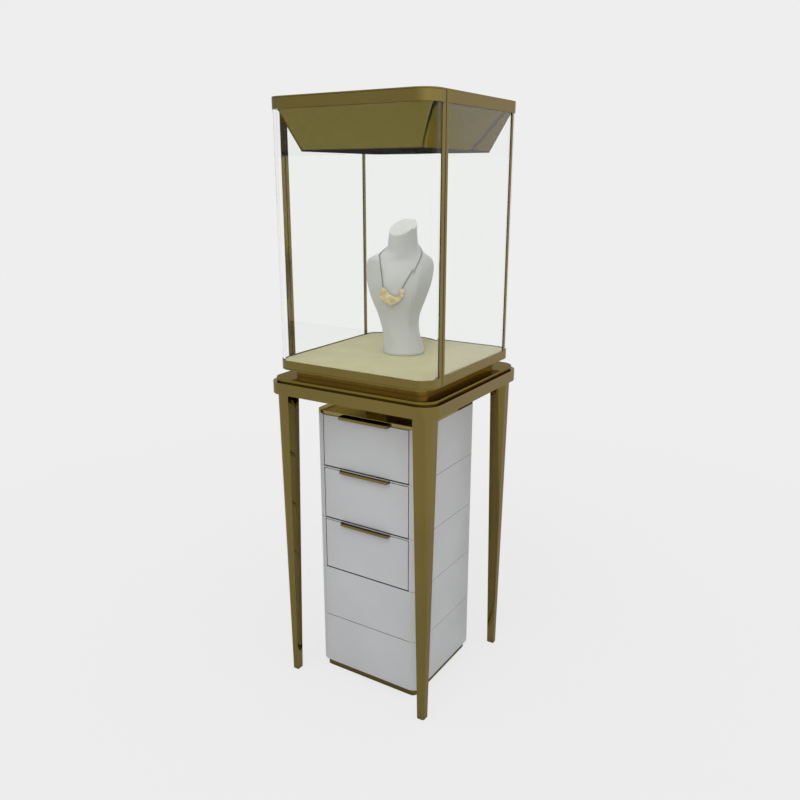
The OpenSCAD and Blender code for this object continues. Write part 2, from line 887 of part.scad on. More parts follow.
// Smooth value of one column at a share h of the height
function bust_row(h, i = 0) = i >= len(BUST) - 2 || h < BUST[i + 1][0] ? i : bust_row(h, i + 1);
function bust_slope(i, c) =
    let (a = max(i - 1, 0), b = min(i + 1, len(BUST) - 1))
    (BUST[b][c] - BUST[a][c]) / (BUST[b][0] - BUST[a][0]);
function bust_at(h, c) =
    let (
        i = bust_row(h),
        span = BUST[i + 1][0] - BUST[i][0],
        t = (h - BUST[i][0]) / span
    )
    BUST[i][c] * (1 + 2 * t) * pow(1 - t, 2) + BUST[i + 1][c] * t * t * (3 - 2 * t)
    + span * (bust_slope(i, c) * t * pow(1 - t, 2) - bust_slope(i + 1, c) * t * t * (1 - t));

// How far a ring reaches at an angle a, 1 except where the side plane cuts it
function side_cut(h, a) =
    min(1, bust_at(h, 7) / max(0.1, abs(cos(a)) * cos(ridge_turn) - sin(a) * sin(ridge_turn)));

// A point of the surface, at a share h of the height and an angle a, 0 to the right
function bust_point(h, a) =
    let (
        s = bust_shoulder,
        reach = side_cut(h, a),
        x = s * (bust_at(h, 3) + bust_at(h, 1) * reach * cos(a)),
        y = s * (bust_at(h, 4) + bust_at(h, 2) * reach * sin(a))
    )
    [x, y, h * bust_h + bust_at(h, 5) * y + bust_at(h, 6) * x];

// A point that lies this far out of the surface
function bust_out(h, a, out) =
    let (
        round = bust_point(h, a + 1) - bust_point(h, a - 1),
        up = bust_point(h + 0.002, a) - bust_point(h - 0.002, a)
    )
    bust_point(h, a) + out * unit(cross(round, up));

module bust_place() {
    translate([bust_x, bust_y, board_top + pad_t]) rotate(bust_turn) children();
}

module bust_form() {
    top = BUST[len(BUST) - 1][0];
    points = [
        for (j = [0 : bust_rings], i = [0 : bust_sides - 1])
            bust_point(top * j / bust_rings, 360 * i / bust_sides)
    ];
    n = bust_sides;
    walls = [
        for (j = [0 : bust_rings - 1], i = [0 : n - 1])
            let (a = j * n + i, b = j * n + (i + 1) % n)
            each [[a, a + n, b + n], [a, b + n, b]]
    ];
    foot = [for (i = [0 : n - 1]) i];
    cut = [for (i = [n - 1 : -1 : 0]) bust_rings * n + i];
    color(WHITE) bust_place() polyhedron(points, concat(walls, [foot, cut]));
}

// The pendant is a crescent of graded discs in a bow; its middle is given to the right and up
coin_step = 0.82 * coin_d / coin_bow * 180 / PI;
top_turn = (coins - 1) / 2 * coin_step;
function coin_turn(i) = (i - (coins - 1) / 2) * coin_step;
function coin_size(i) =
    coin_d + coin_growth * pow(max(0, cos(coin_turn(i) + coin_peak)), 2);
pendant_x = -0.31 * bust_shoulder;
pendant_z = 0.49 * bust_h;

// The chain: two straight strands from the end discs to the neck, and an arc round its nape
chain_gap = 0.8;
chain_out = chain_d / 2 + chain_gap;
chain_low_x = coin_bow * sin(top_turn);
function chain_low_z(side) =
    pendant_z - coin_bow * cos(top_turn) + coin_size(side > 0 ? coins - 1 : 0) / 2 + chain_gap;
function chain_high_x(side) = (side > 0 ? 0.557 : -0.70) * bust_shoulder;
function chain_high_z(side) = (side > 0 ? 0.764 : 0.735) * bust_h;
nape_rise = 0.045 * bust_h;
strand_n = 20;
arc_n = 18;

// The height share and the angle at which the surface passes x and z, as seen from the front
function front_angle(x, z) =
    let (
        h = z / bust_h,
        u = max(-1, min(1, (x / bust_shoulder - bust_at(h, 3)) / bust_at(h, 1))),
        on_plane = (bust_at(h, 7) - abs(u) * cos(ridge_turn)) / sin(ridge_turn)
    )
    -atan2(min(sqrt(1 - u * u), on_plane), u);
function strand(side, t) =
    let (
        x0 = pendant_x + chain_low_x * side,
        x = x0 + t * (chain_high_x(side) - x0),
        z = chain_low_z(side) + t * (chain_high_z(side) - chain_low_z(side))
    )
    bust_out(z / bust_h, front_angle(x, z), chain_out);
function strand_angle(side) = front_angle(chain_high_x(side), chain_high_z(side));
chain_path = concat(
    [for (i = [0 : strand_n]) strand(1, i / strand_n)],
    [
        for (i = [1 : arc_n - 1])
            let (
                a0 = strand_angle(1),
                a1 = strand_angle(-1) + 360,
                t = i / arc_n,
                level = chain_high_z(1) * (1 - t) + chain_high_z(-1) * t,
                z = level + nape_rise * sin(180 * t)
            )
            bust_out(z / bust_h, a0 + t * (a1 - a0), chain_out)
    ],
    [for (i = [strand_n : -1 : 0]) strand(-1, i / strand_n)]
);

// A tube along a path, with square cut ends
function along(p, i) = unit(p[min(i + 1, len(p) - 1)] - p[max(i - 1, 0)]);
module tube(path, d, sides) {
    rings = [
        for (i = [0 : len(path) - 1])
            let (
                t = along(path, i),
                u = unit(cross(t, abs(t[2]) < 0.9 ? [0, 0, 1] : [0, 1, 0])),
                v = cross(t, u)
            )
            for (k = [0 : sides - 1])
                path[i] + d / 2 * (u * cos(360 * k / sides) + v * sin(360 * k / sides))
    ];
    last = len(path) - 1;
    walls = [
        for (j = [0 : last - 1], i = [0 : sides - 1])
            let (a = j * sides + i, b = j * sides + (i + 1) % sides)
            each [[a, a + sides, b + sides], [a, b + sides, b]]
    ];
    start = [for (i = [0 : sides - 1]) i];
    end = [for (i = [sides - 1 : -1 : 0]) last * sides + i];
    polyhedron(rings, concat(walls, [start, end]));
}

module necklace_chain() {
    color(STEEL) bust_place() tube(chain_path, chain_d, 6);
}

// Graded discs on the chest, each one a little further out than the one before
module necklace_pendant() {
    stand_off = 1.6;
    rest = bust_point(pendant_z / bust_h, front_angle(pendant_x, pendant_z));
    color(GOLD)
        bust_place()
            translate([pendant_x, rest[1] - stand_off, pendant_z])
                rotate([90, 0, 0])
                    for (i = [0 : coins - 1])
                        rotate(coin_turn(i))
                            translate([0, -coin_bow, coin_layer * i])
                                cylinder(h = coin_t, d = coin_size(i), $fn = SOFT);
}

leg_front_left();
leg_front_right();
leg_rear_left();
leg_rear_right();
leg_plates();
table_apron();
table_core();
ledge_plate();
neck_block();
rim_base_plate();
deck_rim();
deck_board();
deck_pad();
post_front_left();
post_front_right();
post_rear_left();
post_rear_right();
side_glass_left();
side_glass_right();
rear_glass();
canopy_top_plate();
canopy_band();
canopy_hopper();
light_panel();
lamps();
lamp_driver();
power_socket();
pivot_pins();
catch_keepers();
cabinet_spacer();
cabinet_top_plate();
cabinet_layer_1();
cabinet_layer_2();
cabinet_layer_3();
cabinet_layer_4();
cabinet_layer_5();
cabinet_plinth();
cabinet_runners();
door_top_rail();
door_bottom_rail();
door_stile_left();
door_stile_right();
door_glass();
door_magnets();
drawer_1_front();
drawer_1_box();
drawer_1_pull();
drawer_1_slides();
drawer_2_front();
drawer_2_box();
drawer_2_pull();
drawer_2_slides();
drawer_3_front();
drawer_3_box();
drawer_3_pull();
drawer_3_slides();
bust_form();
necklace_chain();
necklace_pendant();
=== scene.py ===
import json
import math

import bmesh
import bpy
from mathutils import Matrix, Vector

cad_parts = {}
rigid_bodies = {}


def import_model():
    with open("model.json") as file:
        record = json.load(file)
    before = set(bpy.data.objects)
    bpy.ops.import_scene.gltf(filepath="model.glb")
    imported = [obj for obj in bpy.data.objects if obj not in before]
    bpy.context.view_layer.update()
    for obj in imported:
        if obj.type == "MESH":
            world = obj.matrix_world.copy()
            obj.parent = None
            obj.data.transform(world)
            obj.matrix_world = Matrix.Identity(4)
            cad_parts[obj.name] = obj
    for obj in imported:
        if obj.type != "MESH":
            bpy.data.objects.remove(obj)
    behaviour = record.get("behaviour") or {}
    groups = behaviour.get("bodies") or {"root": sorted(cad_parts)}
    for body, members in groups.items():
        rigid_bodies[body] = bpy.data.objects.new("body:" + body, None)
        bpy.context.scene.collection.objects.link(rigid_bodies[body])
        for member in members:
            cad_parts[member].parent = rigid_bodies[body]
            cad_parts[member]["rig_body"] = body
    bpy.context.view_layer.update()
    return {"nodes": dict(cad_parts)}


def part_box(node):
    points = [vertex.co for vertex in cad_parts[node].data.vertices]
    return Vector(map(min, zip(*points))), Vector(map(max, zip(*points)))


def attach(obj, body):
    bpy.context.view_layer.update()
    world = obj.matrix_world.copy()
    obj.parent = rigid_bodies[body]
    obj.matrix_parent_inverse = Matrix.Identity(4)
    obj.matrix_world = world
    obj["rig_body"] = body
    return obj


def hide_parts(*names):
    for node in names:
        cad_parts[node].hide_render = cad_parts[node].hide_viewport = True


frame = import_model()


# Floor, light and camera
# A plain pale floor and pale surroundings, as in a product picture. The world lights the
# object softly from above and is a little brighter on the right; one wide lamp adds form.
def linear(colour):
    """An sRGB hex colour as the linear colour that a socket takes."""
    parts = [int(colour[i:i + 2], 16) / 255 for i in (1, 3, 5)]
    return tuple(p / 12.92 if p <= 0.04045 else ((p + 0.055) / 1.055) ** 2.4 for p in parts) + (1.0,)


def add(tree, kind, inputs=None, **settings):
    """Adds a node with its settings, values and links."""
    node = tree.nodes.new(kind)
    for name, value in settings.items():
        setattr(node, name, value)
    for name, value in (inputs or {}).items():
        socket = node.inputs[name]
        if isinstance(value, bpy.types.NodeSocket):
            tree.links.new(value, socket)
        else:
            socket.default_value = value
    return node


def shaped(name, form, material, smooth=False):
    """Makes an object of a bmesh form, with its material."""
    for face in form.faces:
        face.smooth = smooth
    mesh = bpy.data.meshes.new(name)
    form.to_mesh(mesh)
    form.free()
    piece = bpy.data.objects.new(name, mesh)
    bpy.context.scene.collection.objects.link(piece)
    piece.data.materials.append(material)
    return piece


PALE = "#eeeeee"

world = bpy.data.worlds.new("pale_room")
bpy.context.scene.world = world
world.use_nodes = True
sky = world.node_tree
sky.nodes.clear()
direction = add(sky, "ShaderNodeTexCoord")
split = add(sky, "ShaderNodeSeparateXYZ", {"Vector": direction.outputs["Generated"]})
height = add(sky, "ShaderNodeMapRange",
             {"Value": split.outputs["Z"], "From Min": -0.2, "From Max": 0.9, "To Min": 0.50, "To Max": 0.98})
side = add(sky, "ShaderNodeMapRange",
           {"Value": split.outputs["X"], "From Min": -0.8, "From Max": 0.8, "To Min": -0.06, "To Max": 0.24})
depth = add(sky, "ShaderNodeMapRange",
            {"Value": split.outputs["Y"], "From Min": -0.8, "From Max": 0.8, "To Min": 0.05, "To Max": -0.08})
shift = add(sky, "ShaderNodeMath", {0: side.outputs["Result"], 1: depth.outputs["Result"]}, operation="ADD")
rays = add(sky, "ShaderNodeLightPath")
# polished metal mirrors a room that is brighter on the right
bright_side = add(sky, "ShaderNodeMapRange", {"Value": split.outputs["X"], "From Min": -0.1, "From Max": 0.7,
                                              "To Min": 0.0, "To Max": 0.25})
mirrored = add(sky, "ShaderNodeMath", {0: bright_side.outputs["Result"], 1: rays.outputs["Is Glossy Ray"],
                                       2: shift.outputs["Value"]}, operation="MULTIPLY_ADD")
level = add(sky, "ShaderNodeMath", {0: height.outputs["Result"], 1: mirrored.outputs["Value"]},
            operation="ADD")
seen = add(sky, "ShaderNodeMath",
           {0: rays.outputs["Is Camera Ray"], 1: rays.outputs["Is Transmission Ray"]}, operation="MAXIMUM")
lit = add(sky, "ShaderNodeBackground", {"Color": linear("#ffffff"), "Strength": level.outputs["Value"]})
shown = add(sky, "ShaderNodeBackground", {"Color": linear(PALE), "Strength": 1.0})
mixed = add(sky, "ShaderNodeMixShader", {0: seen.outputs["Value"], 1: lit.outputs["Background"],
                                         2: shown.outputs["Background"]})
add(sky, "ShaderNodeOutputWorld", {"Surface": mixed.outputs["Shader"]})

paint = bpy.data.materials.new("pale_painted_floor")
paint.use_nodes = True
tree = paint.node_tree
tree.nodes.clear()
rays = add(tree, "ShaderNodeLightPath")
ground = add(tree, "ShaderNodeBsdfDiffuse", {"Color": linear("#dcdcdb"), "Roughness": 0.6})
plain = add(tree, "ShaderNodeEmission", {"Color": linear(PALE), "Strength": 1.0})
where = add(tree, "ShaderNodeTexCoord").outputs["Object"]
distance = add(tree, "ShaderNodeVectorMath", {"Vector": where}, operation="LENGTH")
# the shadow is kept near the object and the floor fades into the background behind it
fade = add(tree, "ShaderNodeMapRange", {"Value": distance.outputs["Value"], "From Min": 0.7, "From Max": 2.2,
                                        "To Min": 0.84, "To Max": 1.0})
looked_at = add(tree, "ShaderNodeMath",
                {0: rays.outputs["Is Camera Ray"], 1: rays.outputs["Is Transmission Ray"]},
                operation="MAXIMUM")
seen_share = add(tree, "ShaderNodeMath", {0: looked_at.outputs["Value"], 1: fade.outputs["Result"]},
                 operation="MULTIPLY")
# polished metal mirrors a floor that grows brighter towards the right
across = add(tree, "ShaderNodeSeparateXYZ", {"Vector": where})
right = add(tree, "ShaderNodeMapRange", {"Value": across.outputs["X"], "From Min": 0.6, "From Max": 1.7,
                                         "To Min": 0.0, "To Max": 1.0})
mirrored = add(tree, "ShaderNodeMath", {0: rays.outputs["Is Glossy Ray"], 1: right.outputs["Result"]},
               operation="MULTIPLY")
share = add(tree, "ShaderNodeMath", {0: seen_share.outputs["Value"], 1: mirrored.outputs["Value"]},
            operation="MAXIMUM")
floor_mix = add(tree, "ShaderNodeMixShader", {0: share.outputs["Value"], 1: ground.outputs["BSDF"],
                                              2: plain.outputs["Emission"]})
add(tree, "ShaderNodeOutputMaterial", {"Surface": floor_mix.outputs["Shader"]})
form = bmesh.new()
bmesh.ops.create_grid(form, x_segments=1, y_segments=1, size=30.0)
shaped("floor", form, paint)

lamp = bpy.data.lights.new("wide_soft_lamp", "AREA")
lamp.shape = "DISK"
lamp.size = 2.6
lamp.energy = 34
lamp_object = bpy.data.objects.new("wide_soft_lamp", lamp)
lamp_object.location = (0.4, -2.6, 3.5)
lamp_object.rotation_euler = (Vector((0, 0, 0.8)) - lamp_object.location).to_track_quat("-Z", "Y").to_euler()
bpy.context.scene.collection.objects.link(lamp_object)

# the lamps in the canopy are lit: their light falls on the bust and the pad from above
canopy_light = bpy.data.lights.new("canopy_light", "AREA")
canopy_light.size = 0.24
canopy_light.energy = 0.4
canopy_light_object = bpy.data.objects.new("canopy_light", canopy_light)
canopy_light_object.location = (0, 0, 1.296)
canopy_light_object.visible_camera = False
canopy_light_object.visible_glossy = False
canopy_light_object.visible_transmission = False
bpy.context.scene.collection.objects.link(canopy_light_object)

camera = bpy.data.cameras.new("camera")
camera.sensor_width = 36
camera.lens = 35.147
camera.shift_x = 0.0030
camera.shift_y = 0.0039
camera_object = bpy.data.objects.new("camera", camera)
camera_object.location = (0.98881, -1.56917, 1.24907)
camera_object.rotation_euler = (math.radians(90 - 16.21), 0, math.radians(32.19))
bpy.context.scene.collection.objects.link(camera_object)
bpy.context.scene.camera = camera_object
bpy.context.scene.view_settings.view_transform = "Standard"


# Table, rails and canopy
# Folded stainless steel sheet, mirror polished, coated olive gold in a vacuum (PVD) and sealed
# with a clear lacquer. The edges of each piece are broken by a fine radius.
nodes = frame["nodes"]
mm = 0.001


def new_material(name):
    """An empty material: its tree, its shader and its output."""
    material = bpy.data.materials.new(name)
    material.use_nodes = True
    tree = material.node_tree
    tree.nodes.clear()
    shader = tree.nodes.new("ShaderNodeBsdfPrincipled")
    add(tree, "ShaderNodeOutputMaterial", {"Surface": shader.outputs["BSDF"]})
    return material, tree, shader


def into(tree, shader, **sockets):
    """Sets or links sockets of a shader, with spaces in their names written as _."""
    for name, value in sockets.items():
        socket = shader.inputs[name.replace("_", " ")]
        if isinstance(value, bpy.types.NodeSocket):
            tree.links.new(value, socket)
        else:
            socket.default_value = value


def ramp(tree, value, low, high, low_colour, high_colour):
    """A colour ramp between two hex colours."""
    node = add(tree, "ShaderNodeValToRGB", {"Fac": value})
    node.color_ramp.elements[0].position = low
    node.color_ramp.elements[0].color = linear(low_colour)
    node.color_ramp.elements[1].position = high
    node.color_ramp.elements[1].color = linear(high_colour)
    return node.outputs["Color"]


def gold_pvd(name, dark, light, rough, edge="#c2b27a", lacquer=0.72):
    """Gold PVD on polished steel under clear lacquer: the lacquer adds a white sheen at low angles,
    reflections swim a little, and wiped marks show in the gloss."""
    material, tree, shader = new_material(name)
    place = add(tree, "ShaderNodeTexCoord").outputs["Object"]
    # the sheet's own unevenness, one swell to about 160 mm
    swell = add(tree, "ShaderNodeTexNoise", {"Vector": place, "Scale": 6.0, "Detail": 1.0})
    # wiped marks, about 25 mm
    marks = add(tree, "ShaderNodeTexNoise", {"Vector": place, "Scale": 40.0, "Detail": 5.0, "Roughness": 0.6})
    gloss = add(tree, "ShaderNodeMapRange", {"Value": marks.outputs["Fac"], "From Min": 0.35, "From Max": 0.7,
                                             "To Min": rough * 0.7, "To Max": rough * 1.5})
    bump = add(tree, "ShaderNodeBump", {"Height": swell.outputs["Fac"], "Strength": 0.02, "Distance": 0.01})
    into(tree, shader, Metallic=1.0, Specular_Tint=linear(edge),
         Coat_Weight=lacquer, Coat_Roughness=0.03, Coat_IOR=1.5,
         Base_Color=ramp(tree, swell.outputs["Fac"], 0.3, 0.7, dark, light),
         Roughness=gloss.outputs["Result"], Normal=bump.outputs["Normal"])
    return material


def broken_edges(node, material, edge):
    """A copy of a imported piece: merged, its flat faces made whole, and its edges rounded by edge."""
    mesh = nodes[node].data.copy()
    mesh.materials.clear()
    if "custom_normal" in mesh.attributes:
        mesh.attributes.remove(mesh.attributes["custom_normal"])
    form = bmesh.new()
    form.from_mesh(mesh)
    bmesh.ops.remove_doubles(form, verts=form.verts, dist=0.002 * mm)
    bmesh.ops.dissolve_limit(form, angle_limit=math.radians(0.4), verts=form.verts, edges=form.edges)
    for face in form.faces:
        face.smooth = True
    form.to_mesh(mesh)
    form.free()
    piece = bpy.data.objects.new(node + "_finished", mesh)
    bpy.context.scene.collection.objects.link(piece)
    piece.data.materials.append(material)
    bevel = piece.modifiers.new("edge", "BEVEL")
    bevel.width = edge
    bevel.segments = 2
    bevel.limit_method = "ANGLE"
    bevel.angle_limit = math.radians(30)
    normals = piece.modifiers.new("normals", "WEIGHTED_NORMAL")
    normals.keep_sharp = True
    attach(piece, nodes[node]["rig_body"])
    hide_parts(node)


gold = gold_pvd("gold_pvd_mirror_steel", "#73621e", "#7a6925", 0.07)
for part in ["table_apron", "rim_base_plate", "deck_rim", "canopy_top_plate", "canopy_band",
             "door_top_rail", "door_bottom_rail"]:
    broken_edges(part, gold, 0.5 * mm)
# the ledge lies flat, where a thinner lacquer keeps its mirror image of the neck dark
ledge_gold = gold_pvd("gold_pvd_ledge_steel", "#73621e", "#7a6925", 0.10, lacquer=0.3)
broken_edges("ledge_plate", ledge_gold, 0.5 * mm)
# the cabinet's plate and spacer and the canopy's pyramid are left without the lacquer, so they mirror
# their surroundings more deeply. The plate and spacer also get a lighter gold and a paler edge tint:
# painted light that lifts them in the shade under the table.
bare_lightened_gold = gold_pvd("gold_pvd_bare_steel_painted_lighter", "#8e804e", "#948654", 0.07, edge="#e6dfbe", lacquer=0.0)
# the pyramid's darker, yellower edge tint is painted shade that dims its reflections
canopy_darkened_gold = gold_pvd("gold_pvd_canopy_steel_painted_darker", "#70652e", "#756a32", 0.07, edge="#857a40", lacquer=0.0)
broken_edges("canopy_hopper", canopy_darkened_gold, 0.5 * mm)

# the neck is clad in a less sharply polished grade of the same sheet; its much lighter gold is
# painted light that lifts the neck where it stands in shade
satin_lightened_gold = gold_pvd("gold_pvd_satin_steel_painted_lighter", "#b39f5c", "#b9a562", 0.17, lacquer=0.2)
broken_edges("neck_block", satin_lightened_gold, 0.5 * mm)

# Legs
# Four tapered tubes of the same steel, folded and seam welded on the inside, then polished.
for part in ["leg_front_left", "leg_front_right", "leg_rear_left", "leg_rear_right"]:
    broken_edges(part, gold, 0.8 * mm)

# Posts and stiles
# Flat bars of the same steel, set flush with the rails; the door's two stiles are the same bar.
for part in ["post_front_left", "post_front_right", "post_rear_left", "post_rear_right",
             "door_stile_left", "door_stile_right"]:
    broken_edges(part, gold, 0.4 * mm)

# Glass
# Clear tempered float glass, 5 mm, with a coating against reflections, the corners bent hot and
# the edges ground and polished. Lamps reach what stands inside.
glass, tree, shader = new_material("coated_float_glass")
into(tree, shader, Base_Color=linear("#fefffe"), Roughness=0.0, IOR=1.45, Transmission_Weight=1.0,
     Specular_Tint=linear("#7c7c7c"))
output = next(n for n in tree.nodes if n.type == "OUTPUT_MATERIAL")
rays = add(tree, "ShaderNodeLightPath")
through = add(tree, "ShaderNodeBsdfTransparent", {"Color": linear("#fbfcfb")})
pane = add(tree, "ShaderNodeMixShader", {0: rays.outputs["Is Shadow Ray"], 1: shader.outputs["BSDF"],
                                         2: through.outputs["BSDF"]})
tree.links.new(pane.outputs["Shader"], output.inputs["Surface"])
for part in ["side_glass_left", "side_glass_right", "rear_glass", "door_glass"]:
    broken_edges(part, glass, 0.5 * mm)

# Cabinet
# Boxes of medium density board, sprayed with white satin lacquer, stacked with a fine groove
# between them, on a plinth and under a plate of the gold steel.


def satin_lacquer(name, gap_shade=None, width=0, depth=0):
    """White satin lacquer sprayed on board, which levels to a fine orange peel of about 2 mm. The
    inside of a carcass, within a width and a depth, gets a dark colour of painted shade instead."""
    material, tree, shader = new_material(name)
    place = add(tree, "ShaderNodeTexCoord").outputs["Object"]
    peel = add(tree, "ShaderNodeTexNoise", {"Vector": place, "Scale": 480.0, "Detail": 1.0})
    cloud = add(tree, "ShaderNodeTexNoise", {"Vector": place, "Scale": 7.0, "Detail": 3.0})
    sheen = add(tree, "ShaderNodeMapRange", {"Value": cloud.outputs["Fac"], "From Min": 0.3, "From Max": 0.7,
                                             "To Min": 0.30, "To Max": 0.40})
    bump = add(tree, "ShaderNodeBump", {"Height": peel.outputs["Fac"], "Strength": 0.06, "Distance": 0.0004})
    colour = ramp(tree, cloud.outputs["Fac"], 0.3, 0.7, "#b9babc", "#bfc0c2")
    if gap_shade:
        # painted shade: the carcass inside the opening is coloured dark where the gaps fall in shade
        axes = add(tree, "ShaderNodeSeparateXYZ", {"Vector": place})
        across = add(tree, "ShaderNodeMath", {0: axes.outputs["X"]}, operation="ABSOLUTE")
        along = add(tree, "ShaderNodeMath", {0: axes.outputs["Y"]}, operation="ABSOLUTE")
        between = add(tree, "ShaderNodeMath", {0: across.outputs["Value"], 1: width}, operation="LESS_THAN")
        behind = add(tree, "ShaderNodeMath", {0: along.outputs["Value"], 1: depth}, operation="LESS_THAN")
        inside = add(tree, "ShaderNodeMath", {0: between.outputs["Value"], 1: behind.outputs["Value"]},
                     operation="MULTIPLY")
        colour = add(tree, "ShaderNodeMixRGB", {"Fac": inside.outputs["Value"], "Color1": colour,
                                                "Color2": linear(gap_shade)}).outputs["Color"]
    into(tree, shader, Base_Color=colour, Roughness=sheen.outputs["Result"], IOR=1.5,
         Normal=bump.outputs["Normal"])
    return material


# painted shade starts just inside the carcass opening, so the gaps round the drawers read black
carcass = satin_lacquer("white_satin_lacquer_painted_shade_inside", gap_shade="#2e2d2b", width=122.3 * mm, depth=142.4 * mm)
lacquer = satin_lacquer("white_satin_lacquer")
for part in ["cabinet_layer_1", "cabinet_layer_2", "cabinet_layer_3", "cabinet_layer_4", "cabinet_layer_5"]:
    broken_edges(part, carcass, 0.5 * mm)
broken_edges("cabinet_top_plate", bare_lightened_gold, 0.4 * mm)
broken_edges("cabinet_plinth", gold, 0.5 * mm)

# Drawers
# Lacquered fronts on open birch boxes. A finger pull of folded gold steel stands on each front,
# with a black strip of painted shade inside where the hand goes.
birch, tree, shader = new_material("birch_plywood")
place = add(tree, "ShaderNodeTexCoord").outputs["Object"]
# the grain runs along the boards: about 3 mm across and 60 mm long
stretched = add(tree, "ShaderNodeMapping", {"Vector": place, "Scale": (16.0, 330.0, 330.0)})
grain = add(tree, "ShaderNodeTexNoise", {"Vector": stretched.outputs["Vector"], "Scale": 1.0,
                                             "Detail": 4.0})
bump = add(tree, "ShaderNodeBump", {"Height": grain.outputs["Fac"], "Strength": 0.1, "Distance": 0.0003})
into(tree, shader, Base_Color=ramp(tree, grain.outputs["Fac"], 0.3, 0.7, "#b8936a", "#d6b98f"),
     Roughness=0.5, Normal=bump.outputs["Normal"])
# a black strip of painted shade stands for the shade inside the finger pulls
shade_strip, tree, shader = new_material("black_painted_shade_strip")
place = add(tree, "ShaderNodeTexCoord").outputs["Object"]
strip_speckle = add(tree, "ShaderNodeTexNoise", {"Vector": place, "Scale": 1500.0, "Detail": 2.0})
into(tree, shader, Base_Color=ramp(tree, strip_speckle.outputs["Fac"], 0.3, 0.7, "#0c0b0a", "#1a1815"), Roughness=0.95)
# zinc plating: bright and cool, with a faint spangle
zinc, tree, shader = new_material("zinc_plated_steel")
place = add(tree, "ShaderNodeTexCoord").outputs["Object"]
spangle = add(tree, "ShaderNodeTexNoise", {"Vector": place, "Scale": 260.0, "Detail": 3.0})
rub = add(tree, "ShaderNodeMapRange", {"Value": spangle.outputs["Fac"], "To Min": 0.25, "To Max": 0.5})
into(tree, shader, Metallic=1.0, Roughness=rub.outputs["Result"],
     Base_Color=ramp(tree, spangle.outputs["Fac"], 0.35, 0.65, "#a9abad", "#c6c8ca"))
for drawer in ("drawer_1", "drawer_2", "drawer_3"):
    broken_edges(drawer + "_front", lacquer, 0.4 * mm)
    broken_edges(drawer + "_box", birch, 0.8 * mm)
    broken_edges(drawer + "_pull", gold, 0.3 * mm)
    broken_edges(drawer + "_slides", zinc, 0.2 * mm)
    low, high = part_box(drawer + "_pull")
    front_low, front_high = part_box(drawer + "_front")
    # a thin black sheet of painted shade over the front's top edge, within the pull
    wall = 1.7 * mm
    floor_z = front_high.z + 0.05 * mm
    form = bmesh.new()
    bmesh.ops.create_cube(form, size=1.0)
    for v in form.verts:
        v.co.x = (high.x - wall) if v.co.x > 0 else (low.x + wall)
        v.co.y = front_low.y + 1.0 * mm if v.co.y > 0 else low.y + wall
        v.co.z = floor_z + 0.6 * mm if v.co.z > 0 else floor_z
    bmesh.ops.bevel(form, geom=form.edges, offset=0.2 * mm, segments=2, affect="EDGES")
    strip = shaped(drawer + "_pull_inlay", form, shade_strip)
    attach(strip, drawer)
broken_edges("cabinet_runners", zinc, 0.2 * mm)

# Pad
# A board covered in pale olive velvet over thin foam, pressed in between the rails.
velvet, tree, shader = new_material("pale_olive_velvet")
place = add(tree, "ShaderNodeTexCoord").outputs["Object"]
# the pile is finer than a pixel, so its tufts are drawn 1.2 mm wide to show
pile = add(tree, "ShaderNodeTexNoise", {"Vector": place, "Scale": 850.0, "Detail": 2.0})
brushed = add(tree, "ShaderNodeTexNoise", {"Vector": place, "Scale": 18.0, "Detail": 4.0, "Roughness": 0.55})
shade = add(tree, "ShaderNodeMix", {"Factor": 0.35, "A": brushed.outputs["Fac"], "B": pile.outputs["Fac"]})
bump = add(tree, "ShaderNodeBump", {"Height": pile.outputs["Fac"], "Strength": 0.35, "Distance": 0.0006})
into(tree, shader, Base_Color=ramp(tree, shade.outputs["Result"], 0.3, 0.7, "#beb890", "#ccc69f"),
     Roughness=0.9, Sheen_Weight=0.25, Sheen_Roughness=0.4, Sheen_Tint=linear("#e6e4c8"),
     Normal=bump.outputs["Normal"])
low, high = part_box("deck_pad")
half, corner, steps = high.x, 32.1 * mm, 20
# the pad is notched round the place where the door turns
pivot, notch = Vector((202.25 * mm, -156.6 * mm)), 8.65 * mm
outline = []
for quarter in range(4):
    cx = (half - corner) * (1 if quarter in (0, 3) else -1)
    cy = (half - corner) * (1 if quarter < 2 else -1)
    for k in range(steps + 1):
        a = math.radians(90 * quarter + 90 * k / steps)
        outline.append(Vector((cx + corner * math.cos(a), cy + corner * math.sin(a))))
even = []
for i, p in enumerate(outline):
    q = outline[(i + 1) % len(outline)]
    parts = max(1, round((q - p).length / (6 * mm)))
    even += [p.lerp(q, k / parts) for k in range(parts)]
for i, p in enumerate(even):
    away = p - pivot
    if away.length < notch:
        even[i] = pivot + away.normalized() * notch
# the pad's edge, from below: how far each ring stands in and up, in mm
rings = [(1.0, 0.3), (0.0, 0.9), (0.0, 2.6), (0.35, 3.4), (1.2, 3.85), (3.0, 4.0)]
form = bmesh.new()
loops = []
for inset, rise in rings:
    loop = []
    for i, p in enumerate(even):
        t = (even[(i + 1) % len(even)] - even[i - 1]).normalized()
        inward = Vector((-t.y, t.x))
        q = p + inward * inset * mm
        loop.append(form.verts.new((q.x, q.y, low.z + rise * mm)))
    loops.append(loop)
edge_points = [Vector(v.co) for v in loops[-1]]
shrink = 22
wave = 0.12
for ring in range(1, shrink):
    s = 1 - ring / shrink
    loop = []
    for p in edge_points:
        x, y = p.x * s, p.y * s
        # the stuffing swells a little, less towards the edge
        lift = wave * math.sin(23 * x + 3) * math.sin(19 * y + 1) * min(1, 3 * (1 - s))
        loop.append(form.verts.new((x, y, p.z + (lift - wave) * mm)))
    loops.append(loop)
for a, b in zip(loops, loops[1:]):
    for i in range(len(a)):
        j = (i + 1) % len(a)
        form.faces.new((a[i], a[j], b[j], b[i]))
middle = form.verts.new((0, 0, high.z - wave * mm))
